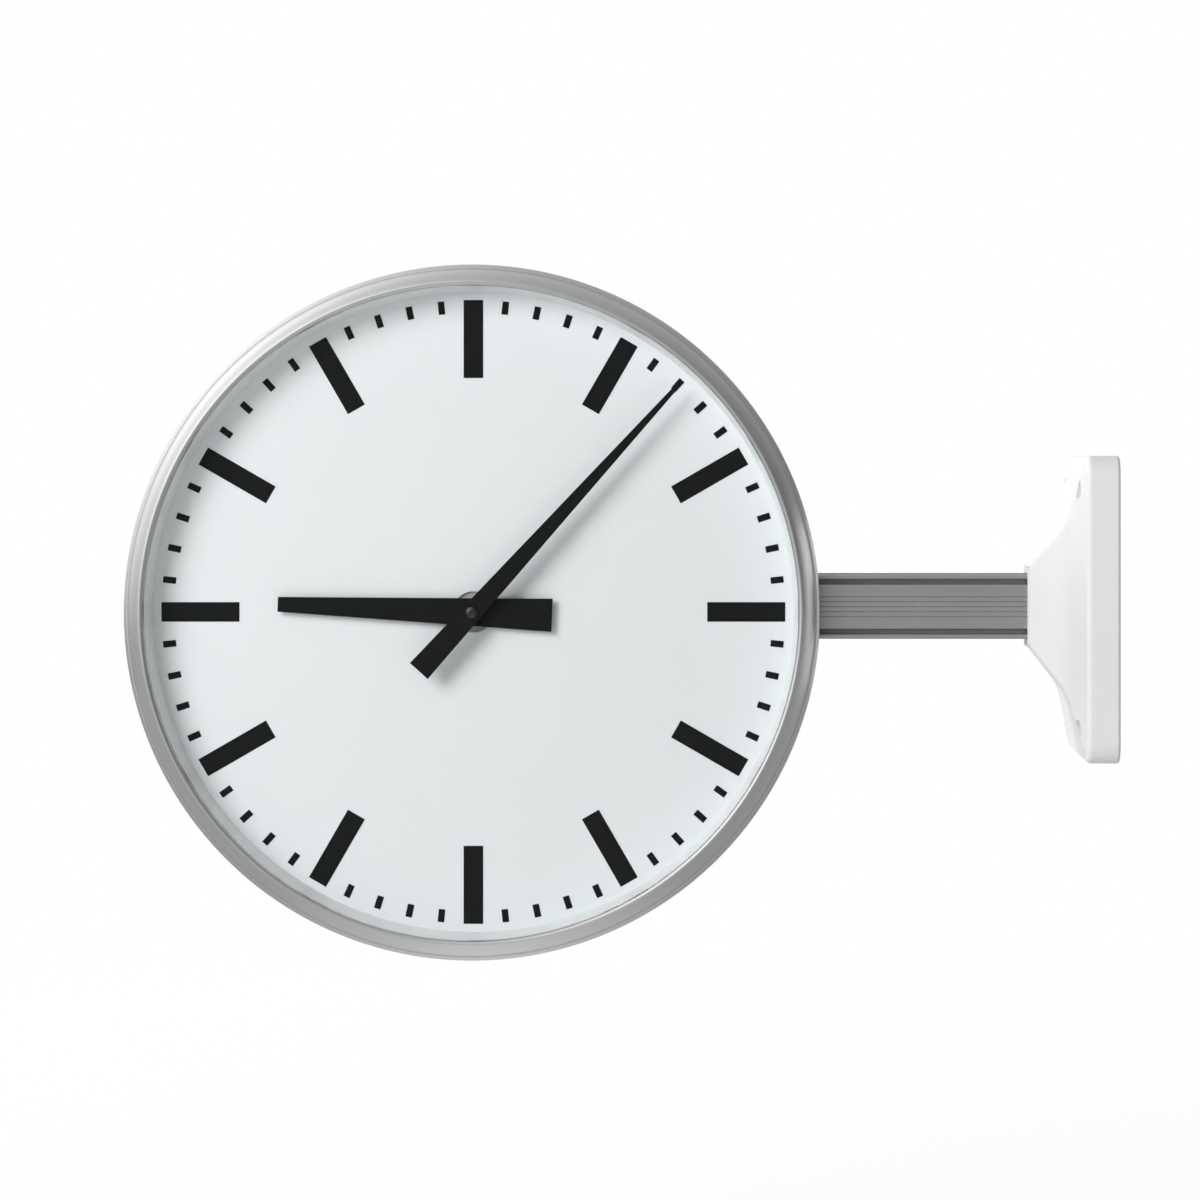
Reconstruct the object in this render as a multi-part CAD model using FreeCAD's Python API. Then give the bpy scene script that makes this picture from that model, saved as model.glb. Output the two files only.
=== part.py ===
import FreeCAD, Part
import math
import os

# A double-sided station clock that hangs from a wall on a square aluminium arm.
# Millimetres. The origin is the centre of the wall plate's back face, on the arm's
# centre line. X points into the wall, Z is up, and the front dial looks towards -Y.
# Each face is drawn as its reader sees it, about its own axis: x to the reader's
# right, y up and z towards the reader, from the clock's middle plane. Both faces
# are the same, and placed() turns each of them to its side of the clock.

PAST = 1.0  # how far a hole is cut past a curved face

# Where the clock hangs.
REACH = 296.0  # wall to the clock's axis
ARM_RISE = 2.0  # arm's centre line above the clock's axis

# Drum: radii about the clock's axis, and distances from its middle plane.
BAND_RADIUS = 157.0
BAND_WALL = 2.5
BAND_HALF_WIDTH = 30.0
DIAL_SEAT = 27.5  # middle plane to the back of a dial
RIM_PLAY = 1.0  # round the edge of a dial, spacer ring or lens
BRACKET_GAUGE = 1.5  # sheet of the angle brackets that carry a dial
BRACKET_WIDTH = 14.0
BRACKET_FOOT = 8.5
BRACKET_LEG = 12.0
BRACKET_ANGLES = (45.0, 135.0, 225.0, 315.0)

# Dial and lens.
DIAL_THICKNESS = 1.5
DIAL_HOLE_RADIUS = 9.5
LENS_STANDOFF = 15.0  # front of the dial to the back of the lens
LENS_THICKNESS = 2.0
SPACER_FOOT = 5.8  # the spacer ring's wall where it stands on the dial
MARK_THICKNESS = 0.15
MARK_INSET = 6.0  # bezel's opening to the outer ends of the marks
HOUR_BAR_LENGTH = 36.0
HOUR_BAR_WIDTH = 9.0
MINUTE_BAR_LENGTH = 6.0
MINUTE_BAR_WIDTH = 3.0

# Bezel: a turned ring that slides over the band and holds the lens.
SKIRT_CLEARANCE = 0.2
SKIRT_WALL = 2.8
SKIRT_REACH = 12.0  # length of band that the skirt covers
LIP_THICKNESS = 2.0
LIP_WIDTH = 3.5  # how far the lip reaches over the lens
LIP_ROUND = 1.6  # radius of the lip's rolled edge
LIP_ROLL = 57.0  # degrees above level where the roll meets the face
SHOULDER_DROP = 9.0  # front of the lip to the end of the skirt's straight side
SHOULDER_HEIGHT = 1.6
SHOULDER_WIDTH = 1.4
STEP_WIDTH = 0.6
CROWN = 0.8  # how far the bezel's face bulges
EDGE_BREAK = 0.4  # bevel on the end of the skirt
BEZEL_SCREW_RADIUS = 1.5
BEZEL_SCREW_HEAD_RADIUS = 2.8
BEZEL_SCREW_HEAD_HEIGHT = 1.4
BEZEL_SCREW_RECESS = 0.2  # head below the skirt's surface
BEZEL_SCREW_CLEARANCE = 0.2
BEZEL_SCREW_ANGLES = (90.0, 210.0, 330.0)

# Arm: a square extrusion with a slotted face on each side.
ARM_SIZE = 30.0
ARM_EDGE = 0.8  # rounding of the four outer edges
ARM_WEB = 2.5  # outer wall
ARM_CORNER = 6.5  # side of the solid corner inside the wall
ARM_CHANNEL_RADIUS = 2.1
ARM_CHANNEL_OFFSET = 9.5  # centre line to a corner's screw channel
SLOT_OFFSET = 11.6  # centre line to the middle of a side slot
SLOT_WIDTH = 2.8
SLOT_DEPTH = 2.6
FLUTE_COUNT = 5
FLUTE_SPAN = 9.2
FLUTE_WIDTH = 0.5
FLUTE_DEPTH = 0.4

# Cast socket that clamps the arm inside the band.
SOCKET_DEPTH = 54.5  # band's inside to the socket's closed end
SOCKET_WALL = 3.8
SOCKET_CLEARANCE = 0.2
SOCKET_FLOOR = 2.0
SOCKET_CABLE_RADIUS = 8.0
FLANGE_THICKNESS = 6.0
FLANGE_HALF_WIDTH = 22.0
FLANGE_HALF_HEIGHT = 34.0
SOCKET_SCREW_RADIUS = 2.0
SOCKET_SCREW_HEAD_RADIUS = 3.6
SOCKET_SCREW_HEAD_HEIGHT = 1.9
SOCKET_SCREW_ANGLE = 9.5  # either side of the arm
SOCKET_SCREW_OFFSET = 9.0  # either side of the middle plane
GRUB_RADIUS = 2.5
GRUB_LENGTH = 4.0
GRUB_PITCH = 24.0
GRUB_OFFSET = 9.5  # over the arm's solid corners

# Wall plate, under the cover.
PLATE_SIZE = 120.0
PLATE_THICKNESS = 4.0
PLATE_CORNER = 8.0
WALL_HOLE_SPACING = 80.0
WALL_HOLE_RADIUS = 3.0
CABLE_HOLE_RADIUS = 7.0
ARM_SCREW_LENGTH = 16.0
ARM_SCREW_HEAD_RADIUS = 4.0
ARM_SCREW_HEAD_HEIGHT = 2.2

# Moulded bracket cover: a rim against the wall, and a four-sided trumpet to the arm.
COVER_SIZE = 140.0
COVER_WALL = 2.5
COVER_CORNER = 10.0
COVER_RIM = 15.0
COVER_DEPTH = 39.5
COVER_EDGE = 3.0  # rounding between the rim and the flare
COVER_INNER_EDGE = 1.0
COVER_BACK_EDGE = 1.5  # rounding against the wall
COVER_RIM_LAP = 0.1  # how far the rounded rim runs out past the flare
COVER_HIP = 3.0  # rounding of the flare's four corners
COLLAR_SIZE = 37.4
COLLAR_LENGTH = 1.0
COLLAR_CLEARANCE = 0.3
BEND_DEPTH = 22.2  # wall to where the flare's two slopes would meet
BEND_HALF = 39.4  # arm's centre line to the same place
BEND_RADIUS = 30.0
COVER_SCREW_SPACING = 110.0
COVER_SCREW_RADIUS = 2.0
COVER_SCREW_HEAD_RADIUS = 3.8
COVER_SCREW_HEAD_HEIGHT = 2.4
COVER_SCREW_CLEARANCE = 0.15
COVER_BOSS_RADIUS = 7.0
COVER_POCKET_RADIUS = 4.6
COVER_POCKET_FLOOR = 8.0  # wall to the seat of a cover screw

# Terminal block for the mains lead, beside the arm on the wall plate.
TERMINAL_WIDTH = 12.0
TERMINAL_HEIGHT = 36.0
TERMINAL_DEPTH = 11.0
TERMINAL_OFFSET = 30.0
TERMINAL_WAYS = 3
TERMINAL_WIRE_RADIUS = 1.6
TERMINAL_SCREW_RADIUS = 2.2
TERMINAL_SCREW_DEPTH = 3.0

# Movement: a moulded case and a front plate, clamped to the back of the dial.
MOVEMENT_SIZE = 60.0
MOVEMENT_BACK = 9.5  # middle plane to the back of the case
MOVEMENT_WALL = 2.0
MOVEMENT_FLANGE = 6.0
MOVEMENT_PLATE_THICKNESS = 2.0
BOSS_RADIUS = 9.2
BOSS_HEIGHT = 0.2  # stands into the dial's hole
STUD_RADIUS = 1.5
STUD_INSET = 3.0
NUT_ACROSS_FLATS = 5.5
NUT_HEIGHT = 2.4
RUNNING_CLEARANCE = 0.05
PIVOT_RADIUS = 0.7
PIVOT_END = 1.0  # how far a pivot runs into its bearing

# Gears. Teeth have straight flanks, as stamped and moulded clock wheels have.
ADDENDUM = 0.85
DEDENDUM = 1.2
TOOTH_TIP = 0.12
ROTOR_CENTRES = 12.6
DRIVE_CENTRES = 14.7
MOTION_CENTRES = 12.0
PINION_TEETH = 6
INTERMEDIATE_TEETH = 30
CENTRE_TEETH = 36
MOTION_TEETH = 18
HOUR_TEETH = 24
WHEEL_THICKNESS = 2.0
MOTION_THICKNESS = 1.5
PINION_OVERHANG = 0.5
INTERMEDIATE_LEVEL = 12.5  # middle plane to the back of each wheel
CENTRE_LEVEL = 16.0
MOTION_LEVEL = 19.5
HOUR_LEVEL = 22.0
POST_RADIUS = 0.9
POST_HEAD_RADIUS = 1.6
POST_HEAD_HEIGHT = 0.8
POST_PLAY = 0.3

# Stepping motor: a two-pole magnet turning in a stator with one coil.
MAGNET_RADIUS = 4.0
MAGNET_HEIGHT = 6.0
MAGNET_LEVEL = 16.0
AIR_GAP = 0.5
POLE_WIDTH = 2.5
STATOR_LEVEL = 19.0
STATOR_THICKNESS = 2.0
STATOR_REACH = 22.0  # minute axis to the far end of the yoke
STATOR_TOP = 22.0
LIMB_WIDTH = 4.0
YOKE_WIDTH = 3.5
STATOR_POST_RADIUS = 1.2
COIL_START = -6.0
COIL_LENGTH = 23.0
COIL_RADIUS = 5.3
BOBBIN_CLEARANCE = 0.2
BOBBIN_WALL = 0.8
BOBBIN_FLANGE = 1.2

# Arbor, pipe and hands.
ARBOR_RADIUS = 1.5
PIPE_RADIUS = 3.0
HOUR_HAND_LEVEL = 32.0
MINUTE_HAND_LEVEL = 39.5
HAND_THICKNESS = 1.0
HAND_EDGE = 0.2  # bevel round the front of a hand
HOUR_BOSS_RADIUS = 5.5
HOUR_BOSS_HEIGHT = 2.0
MINUTE_BOSS_RADIUS = 4.0
MINUTE_BOSS_HEIGHT = 3.0
HOUR_HAND_LENGTH = 90.0
HOUR_HAND_TAIL = 36.5
HOUR_HAND_TIP_WIDTH = 6.8
HOUR_HAND_TAIL_WIDTH = 15.3
HOUR_HAND_ANGLE = 272.3  # clockwise from twelve
MINUTE_HAND_INSET = 3.2  # outer ends of the marks to the hand's tip
MINUTE_HAND_TAIL = 36.2
MINUTE_HAND_TIP_WIDTH = 2.0
MINUTE_HAND_TAIL_WIDTH = 11.0
MINUTE_HAND_ANGLE = 42.2
HAND_NUT_RADIUS = 2.6
HAND_NUT_HEIGHT = 1.4
HAND_NUT_DOME = 0.5

# Places that follow from the sizes above.
BAND_INSIDE = BAND_RADIUS - BAND_WALL
EDGE_RADIUS = BAND_INSIDE - RIM_PLAY
DIAL_FRONT = DIAL_SEAT + DIAL_THICKNESS
LENS_BACK = DIAL_FRONT + LENS_STANDOFF
LENS_FRONT = LENS_BACK + LENS_THICKNESS
BEZEL_FRONT = LENS_FRONT + LIP_THICKNESS
SKIRT_INSIDE = BAND_RADIUS + SKIRT_CLEARANCE
OUTER_RADIUS = SKIRT_INSIDE + SKIRT_WALL
SKIRT_EDGE = BAND_HALF_WIDTH - SKIRT_REACH
SIGHT_RADIUS = EDGE_RADIUS - LIP_WIDTH
MARK_OUTER_RADIUS = SIGHT_RADIUS - MARK_INSET
MINUTE_HAND_LENGTH = MARK_OUTER_RADIUS - MINUTE_HAND_INSET
BEZEL_SCREW_LEVEL = BAND_HALF_WIDTH - SKIRT_REACH / 2
ARM_HALF = ARM_SIZE / 2
ARM_END = REACH - BAND_INSIDE + SOCKET_DEPTH - SOCKET_FLOOR
MOVEMENT_FRONT = DIAL_SEAT - MOVEMENT_PLATE_THICKNESS
STUD_OFFSET = MOVEMENT_SIZE / 2 + MOVEMENT_FLANGE - STUD_INSET
PIPE_BORE = ARBOR_RADIUS + RUNNING_CLEARANCE
INTERMEDIATE_AXIS = (-DRIVE_CENTRES, 0.0)
ROTOR_AXIS = (-DRIVE_CENTRES, ROTOR_CENTRES)
MOTION_AXIS = (0.0, -MOTION_CENTRES)
COIL_HEIGHT = STATOR_TOP - LIMB_WIDTH / 2
STATOR_MIDDLE = STATOR_LEVEL + STATOR_THICKNESS / 2


def point(x, y, z=0.0):
    return FreeCAD.Vector(x, y, z)


def disc(radius, bottom, top, at=(0.0, 0.0)):
    """A round bar that stands along Z between two levels."""
    return Part.makeCylinder(radius, top - bottom, point(at[0], at[1], bottom))


def tube(outer, inner, bottom, top, at=(0.0, 0.0)):
    return disc(outer, bottom, top, at).cut(disc(inner, bottom, top, at))


def block(low, high):
    """A box between two opposite corners."""
    return Part.makeBox(high[0] - low[0], high[1] - low[1], high[2] - low[2], point(*low))


def bar_x(radius, start, end, y, z):
    """A round bar along X between two stations."""
    return Part.makeCylinder(radius, end - start, point(start, y, z), point(1, 0, 0))


def cone_x(radius_start, radius_end, start, end, y, z):
    return Part.makeCone(radius_start, radius_end, end - start, point(start, y, z), point(1, 0, 0))


def eased(start, corner, end, radius):
    """Two straight runs joined by an arc where they would meet in a corner."""
    back, ahead = start - corner, end - corner
    half_angle = back.getAngle(ahead) / 2
    middle = back.normalize() + ahead.normalize()
    middle.normalize()
    reach = radius / math.tan(half_angle)
    arc_start, arc_end = corner + back * reach, corner + ahead * reach
    arc_middle = corner + middle * (radius / math.sin(half_angle) - radius)
    return [
        Part.makeLine(start, arc_start),
        Part.Arc(arc_start, arc_middle, arc_end).toShape(),
        Part.makeLine(arc_end, end),
    ]


def bulged(start, end, bulge):
    """An arc in the XZ plane that stands off its chord, to the left of its course, by bulge."""
    chord = end - start
    left = point(-chord.z, 0, chord.x)
    left.normalize()
    return Part.Arc(start, (start + end) * 0.5 + left * bulge, end).toShape()


def spun(edges):
    """A solid of revolution about Z from an outline drawn in the XZ plane."""
    return Part.Face(Part.Wire(edges)).revolve(point(0, 0, 0), point(0, 0, 1), 360)


def lines(points):
    """Straight edges that join the points in order."""
    return [Part.makeLine(a, b) for a, b in zip(points, points[1:])]


def plate(points, bottom, thickness):
    """A flat piece with a straight-sided outline."""
    outline = [point(x, y, bottom) for x, y in points]
    return Part.Face(Part.makePolygon(outline + outline[:1])).extrude(point(0, 0, thickness))


def turned(solid, angle, at=(0.0, 0.0)):
    """A copy turned anticlockwise about Z."""
    copy = solid.copy()
    copy.rotate(point(at[0], at[1]), point(0, 0, 1), angle)
    return copy


def united(solids):
    return solids[0].fuse(solids[1:]).removeSplitter()


def placed(shape, side):
    """Turn a piece from its reader's frame to its side of the clock."""
    copy = shape.copy()
    copy.rotate(point(0, 0), point(1, 0, 0), 90)
    if side == "rear":
        copy.rotate(point(0, 0), point(0, 0, 1), 180)
    copy.translate(point(-REACH, 0, -ARM_RISE))
    return copy


# Drum.


def bezel_screw_at(angle):
    """Countersunk screw through the skirt, with its thread in the band."""
    outside = OUTER_RADIUS - BEZEL_SCREW_RECESS
    neck = outside - BEZEL_SCREW_HEAD_HEIGHT
    shank = bar_x(BEZEL_SCREW_RADIUS, BAND_INSIDE, neck, 0, BEZEL_SCREW_LEVEL)
    head = cone_x(BEZEL_SCREW_RADIUS, BEZEL_SCREW_HEAD_RADIUS, neck, outside, 0, BEZEL_SCREW_LEVEL)
    return turned(united([shank, head]), angle)


def bezel_hole_at(angle):
    """Clearance for a bezel screw, run past both faces of the skirt."""
    outside = OUTER_RADIUS - BEZEL_SCREW_RECESS
    neck = outside - BEZEL_SCREW_HEAD_HEIGHT
    narrow = BEZEL_SCREW_RADIUS + BEZEL_SCREW_CLEARANCE
    wide = BEZEL_SCREW_HEAD_RADIUS + BEZEL_SCREW_CLEARANCE
    hole = united([
        bar_x(narrow, BAND_INSIDE, neck, 0, BEZEL_SCREW_LEVEL),
        cone_x(narrow, wide, neck, outside, 0, BEZEL_SCREW_LEVEL),
        bar_x(wide, outside, OUTER_RADIUS + PAST, 0, BEZEL_SCREW_LEVEL),
    ])
    return turned(hole, angle)


def bezel_screws():
    return [bezel_screw_at(angle) for angle in BEZEL_SCREW_ANGLES]


def bezel():
    """Skirt, stepped shoulder, crowned face and the rolled lip over the lens."""
    shoulder = BEZEL_FRONT - SHOULDER_DROP
    step = shoulder + SHOULDER_HEIGHT
    crown_foot = OUTER_RADIUS - SHOULDER_WIDTH - STEP_WIDTH
    skirt = lines([
        point(SKIRT_INSIDE, 0, SKIRT_EDGE),
        point(OUTER_RADIUS - EDGE_BREAK, 0, SKIRT_EDGE),
        point(OUTER_RADIUS, 0, SKIRT_EDGE + EDGE_BREAK),
        point(OUTER_RADIUS, 0, shoulder),
        point(OUTER_RADIUS - SHOULDER_WIDTH, 0, step),
        point(crown_foot, 0, step),
    ])
    crown_end, roll_middle, lip_edge = (
        point(
            SIGHT_RADIUS + LIP_ROUND + LIP_ROUND * math.cos(math.radians(angle)),
            0,
            BEZEL_FRONT - LIP_ROUND + LIP_ROUND * math.sin(math.radians(angle)),
        )
        for angle in (LIP_ROLL, (LIP_ROLL + 180.0) / 2, 180.0)
    )
    crown = bulged(point(crown_foot, 0, step), crown_end, -CROWN)
    roll = Part.Arc(crown_end, roll_middle, lip_edge).toShape()
    inside = lines([
        lip_edge,
        point(SIGHT_RADIUS, 0, LENS_FRONT),
        point(EDGE_RADIUS + RIM_PLAY, 0, LENS_FRONT),
        point(SKIRT_INSIDE, 0, shoulder),
        point(SKIRT_INSIDE, 0, SKIRT_EDGE),
    ])
    ring = spun(skirt + [crown, roll] + inside)
    return ring.cut([bezel_hole_at(angle) for angle in BEZEL_SCREW_ANGLES])


def lens():
    return disc(EDGE_RADIUS, LENS_BACK, LENS_FRONT)


def spacer_ring():
    """Tapered ring that keeps the lens off the dial and hides the edges of both."""
    return spun(lines([
        point(EDGE_RADIUS, 0, DIAL_FRONT),
        point(EDGE_RADIUS, 0, LENS_BACK),
        point(SIGHT_RADIUS, 0, LENS_BACK),
        point(EDGE_RADIUS - SPACER_FOOT, 0, DIAL_FRONT),
        point(EDGE_RADIUS, 0, DIAL_FRONT),
    ]))


def dial():
    return tube(EDGE_RADIUS, DIAL_HOLE_RADIUS, DIAL_SEAT, DIAL_FRONT)


def dial_marks():
    """Sixty bars of black enamel, every fifth one an hour bar."""
    marks = []
    for minute in range(60):
        on_hour = minute % 5 == 0
        length = HOUR_BAR_LENGTH if on_hour else MINUTE_BAR_LENGTH
        half = (HOUR_BAR_WIDTH if on_hour else MINUTE_BAR_WIDTH) / 2
        bar = block(
            (MARK_OUTER_RADIUS - length, -half, DIAL_FRONT),
            (MARK_OUTER_RADIUS, half, DIAL_FRONT + MARK_THICKNESS),
        )
        marks.append(turned(bar, 90 - 6 * minute))
    return marks


def dial_brackets():
    """Bent angles, spot-welded to the band, that the dial is pressed against."""
    band_bore = disc(BAND_INSIDE, 0, DIAL_SEAT)
    half = BRACKET_WIDTH / 2
    corner = (BAND_INSIDE, half, DIAL_SEAT)
    foot = block((BAND_INSIDE - BRACKET_FOOT, -half, DIAL_SEAT - BRACKET_GAUGE), corner)
    leg = block((BAND_INSIDE - BRACKET_GAUGE, -half, DIAL_SEAT - BRACKET_LEG), corner)
    angle = united([foot, leg]).common(band_bore)
    return [turned(angle, turn) for turn in BRACKET_ANGLES]


def socket_screw_places():
    for angle in (-SOCKET_SCREW_ANGLE, SOCKET_SCREW_ANGLE):
        for offset in (-SOCKET_SCREW_OFFSET, SOCKET_SCREW_OFFSET):
            yield angle, offset


def socket_screws():
    """Pan-head screws from outside the band into the socket's flange."""
    screws = []
    for angle, offset in socket_screw_places():
        shank = bar_x(SOCKET_SCREW_RADIUS, BAND_INSIDE - FLANGE_THICKNESS, BAND_RADIUS, 0, offset)
        head_end = BAND_RADIUS + SOCKET_SCREW_HEAD_HEIGHT
        head = bar_x(SOCKET_SCREW_HEAD_RADIUS, BAND_RADIUS, head_end, 0, offset)
        screws.append(turned(united([shank, head]), angle))
    return screws


def socket_screw_holes():
    inside = BAND_INSIDE - FLANGE_THICKNESS - PAST
    return [
        turned(bar_x(SOCKET_SCREW_RADIUS, inside, BAND_RADIUS + PAST, 0, offset), angle)
        for angle, offset in socket_screw_places()
    ]


def arm_space(clearance, start, end):
    """The arm's square outline as a solid in the front reader's frame."""
    half = ARM_HALF + clearance
    return block((start, ARM_RISE - half, -half), (end, ARM_RISE + half, half))


def case_ring():
    """Rolled band with an opening for the arm and holes for every screw."""
    band = tube(BAND_RADIUS, BAND_INSIDE, -BAND_HALF_WIDTH, BAND_HALF_WIDTH)
    inside, outside = BAND_INSIDE - PAST, BAND_RADIUS + PAST
    holes = [arm_space(SOCKET_CLEARANCE, 0, outside)]
    for angle in BEZEL_SCREW_ANGLES:
        front_hole = bar_x(BEZEL_SCREW_RADIUS, inside, outside, 0, BEZEL_SCREW_LEVEL)
        rear_hole = bar_x(BEZEL_SCREW_RADIUS, inside, outside, 0, -BEZEL_SCREW_LEVEL)
        holes += [turned(front_hole, angle), turned(rear_hole, 180 - angle)]
    return band.cut(holes + socket_screw_holes())


def arm_socket():
    """Cast sleeve with a flange that follows the inside of the band."""
    flange_box = block(
        (0, ARM_RISE - FLANGE_HALF_HEIGHT, -FLANGE_HALF_WIDTH),
        (BAND_INSIDE, ARM_RISE + FLANGE_HALF_HEIGHT, FLANGE_HALF_WIDTH),
    )
    bore = disc(BAND_INSIDE, -BAND_HALF_WIDTH, BAND_HALF_WIDTH)
    flange_ring = bore.cut(disc(BAND_INSIDE - FLANGE_THICKNESS, -BAND_HALF_WIDTH, BAND_HALF_WIDTH))
    closed_end = BAND_INSIDE - SOCKET_DEPTH
    sleeve = arm_space(SOCKET_CLEARANCE + SOCKET_WALL, closed_end, BAND_INSIDE).common(bore)
    casting = united([flange_ring.common(flange_box), sleeve])
    mouth = arm_space(SOCKET_CLEARANCE, closed_end + SOCKET_FLOOR, BAND_RADIUS)
    cable_hole = Part.makeCylinder(
        SOCKET_CABLE_RADIUS, SOCKET_DEPTH, point(closed_end, ARM_RISE), point(1, 0, 0)
    )
    return casting.cut([mouth, cable_hole] + grub_screws() + socket_screw_holes())


def grub_screws():
    """Set screws in the top and the bottom of the socket, hard against the arm."""
    middle = BAND_INSIDE - SOCKET_DEPTH / 2
    screws = []
    for station in (middle - GRUB_PITCH / 2, middle + GRUB_PITCH / 2):
        for start in (ARM_RISE + ARM_HALF, ARM_RISE - ARM_HALF - GRUB_LENGTH):
            foot = point(station, start, GRUB_OFFSET)
            screws.append(Part.makeCylinder(GRUB_RADIUS, GRUB_LENGTH, foot, point(0, 1, 0)))
    return screws


# Arm and wall bracket, drawn where they stand.


def corner_places(offset):
    return [(y, z) for y in (-offset, offset) for z in (-offset, offset)]


def rounded_bar(size, corner, start, end):
    """A square bar along X with its long edges rounded."""
    bar = block((start, -size / 2, -size / 2), (end, size / 2, size / 2))
    long_edges = [edge for edge in bar.Edges if edge.BoundBox.XLength > (end - start) / 2]
    return bar.makeFillet(corner, long_edges)


def arm_profile():
    """Extruded arm: cross-shaped bore, four screw channels, side slots and flutes."""
    start, end = -ARM_END, -PLATE_THICKNESS
    wide = ARM_HALF - ARM_WEB
    narrow = wide - ARM_CORNER
    cuts = [
        block((start, -wide, -narrow), (end, wide, narrow)),
        block((start, -narrow, -wide), (end, narrow, wide)),
    ]
    for y, z in corner_places(ARM_CHANNEL_OFFSET):
        cuts.append(bar_x(ARM_CHANNEL_RADIUS, start, end, y, z))
    slots = [(-SLOT_OFFSET, SLOT_WIDTH, SLOT_DEPTH), (SLOT_OFFSET, SLOT_WIDTH, SLOT_DEPTH)]
    for index in range(FLUTE_COUNT):
        middle = FLUTE_SPAN * (index / (FLUTE_COUNT - 1) - 0.5)
        slots.append((middle, FLUTE_WIDTH, FLUTE_DEPTH))
    for middle, width, depth in slots:
        low, high = middle - width / 2, middle + width / 2
        cuts.append(block((start, ARM_HALF - depth, low), (end, ARM_HALF, high)))
        cuts.append(block((start, -ARM_HALF, low), (end, depth - ARM_HALF, high)))
    return rounded_bar(ARM_SIZE, ARM_EDGE, start, end).cut(cuts)


def arm_screws():
    """Countersunk screws from the back of the plate into the arm's channels."""
    screws = []
    for y, z in corner_places(ARM_CHANNEL_OFFSET):
        shank = bar_x(ARM_CHANNEL_RADIUS, -ARM_SCREW_LENGTH, 0, y, z)
        head = cone_x(ARM_CHANNEL_RADIUS, ARM_SCREW_HEAD_RADIUS, -ARM_SCREW_HEAD_HEIGHT, 0, y, z)
        screws.append(united([shank, head]))
    return screws


def wall_plate():
    holes = [bar_x(CABLE_HOLE_RADIUS, -PLATE_THICKNESS, 0, 0, 0)]
    for y, z in corner_places(WALL_HOLE_SPACING / 2):
        holes.append(bar_x(WALL_HOLE_RADIUS, -PLATE_THICKNESS, 0, y, z))
    for y, z in corner_places(COVER_SCREW_SPACING / 2):
        holes.append(bar_x(COVER_SCREW_RADIUS, -PLATE_THICKNESS, 0, y, z))
    return rounded_bar(PLATE_SIZE, PLATE_CORNER, -PLATE_THICKNESS, 0).cut(holes + arm_screws())


def cover_prism(size, rim, neck_size, neck, front, bend):
    """The cover seen from the side, as a bar right across Y.

    A shallow slope runs in from the rim and a steep one runs out to the collar.
    """
    wide, narrow = size / 2, neck_size / 2
    rim_low, rim_high = point(-rim, 0, -wide), point(-rim, 0, wide)
    neck_low, neck_high = point(-neck, 0, -narrow), point(-neck, 0, narrow)
    bend_low, bend_high = point(-bend[0], 0, -bend[1]), point(-bend[0], 0, bend[1])
    outline = [
        *lines([rim_high, point(0, 0, wide), point(0, 0, -wide), rim_low]),
        *eased(rim_low, bend_low, neck_low, BEND_RADIUS),
        *lines([neck_low, point(-front, 0, -narrow), point(-front, 0, narrow), neck_high]),
        *eased(neck_high, bend_high, rim_high, BEND_RADIUS),
    ]
    profile = Part.Face(Part.Wire(outline))
    profile.translate(point(0, -wide))
    return profile.extrude(point(0, size))


def soft_rim(size, corner, rim, edge, front):
    """The rim's block with a rounded front edge, and room ahead of it for the flare."""
    square = rounded_bar(size, corner, -rim, 0)
    front_edges = [e for e in square.Edges if e.BoundBox.XMax < edge / 2 - rim]
    return united([
        square.makeFillet(edge, front_edges),
        rounded_bar(size - 2 * edge, corner - edge, -front, 0),
    ])


def soft_back(cover):
    """Round the cover's outer edge against the wall."""
    back_edges = [e for e in cover.Edges if e.BoundBox.XMin > -COVER_BACK_EDGE / 2]
    return cover.makeFillet(COVER_BACK_EDGE, back_edges)


def trumpet(inset, edge, hip):
    """The cover's outer form, or its hollow when it is drawn in by the wall.

    Two bars with the cover's side profile cross at right angles, and what they
    share is the four-sided flare. Its corners are rounded outside and sharp inside.
    """
    size = COVER_SIZE - 2 * inset
    rim = COVER_RIM - inset
    neck = COVER_DEPTH - COLLAR_LENGTH - inset
    front = COVER_DEPTH - inset
    bend = (BEND_DEPTH - inset, BEND_HALF - inset / 2)
    slope = (bend[0] - rim) / (size / 2 - bend[1])
    upright = cover_prism(size, rim, COLLAR_SIZE - 2 * inset, neck, front, bend)
    level = upright.copy()
    level.rotate(point(0, 0), point(1, 0, 0), 90)
    crossed = upright.common(level)
    ahead = [e for e in crossed.Edges if e.BoundBox.XMin < -rim - PAST]
    hips = [e for e in ahead if e.BoundBox.XLength > COLLAR_LENGTH / 2]
    flare = crossed.makeFillet(hip, hips) if hip else crossed
    rim_front = rim + slope * edge + COVER_RIM_LAP
    return flare.common(soft_rim(size, COVER_CORNER - inset, rim_front, edge, front))


def bracket_cover():
    """Moulded shell with four screw bosses that reach down to the wall plate."""
    outside = soft_back(trumpet(0, COVER_EDGE, COVER_HIP))
    shell = outside.cut(trumpet(COVER_WALL, COVER_INNER_EDGE, 0))
    places = corner_places(COVER_SCREW_SPACING / 2)
    bosses = [
        bar_x(COVER_BOSS_RADIUS, -COVER_DEPTH, -PLATE_THICKNESS, y, z).common(outside)
        for y, z in places
    ]
    arm_half = ARM_HALF + COLLAR_CLEARANCE
    cuts = [block((-COVER_DEPTH, -arm_half, -arm_half), (-COVER_RIM, arm_half, arm_half))]
    for y, z in places:
        cuts.append(bar_x(COVER_POCKET_RADIUS, -COVER_DEPTH, -COVER_POCKET_FLOOR, y, z))
        cuts.append(bar_x(COVER_SCREW_RADIUS + COVER_SCREW_CLEARANCE, -COVER_POCKET_FLOOR, 0, y, z))
    return united([shell] + bosses).cut(cuts)


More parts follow.
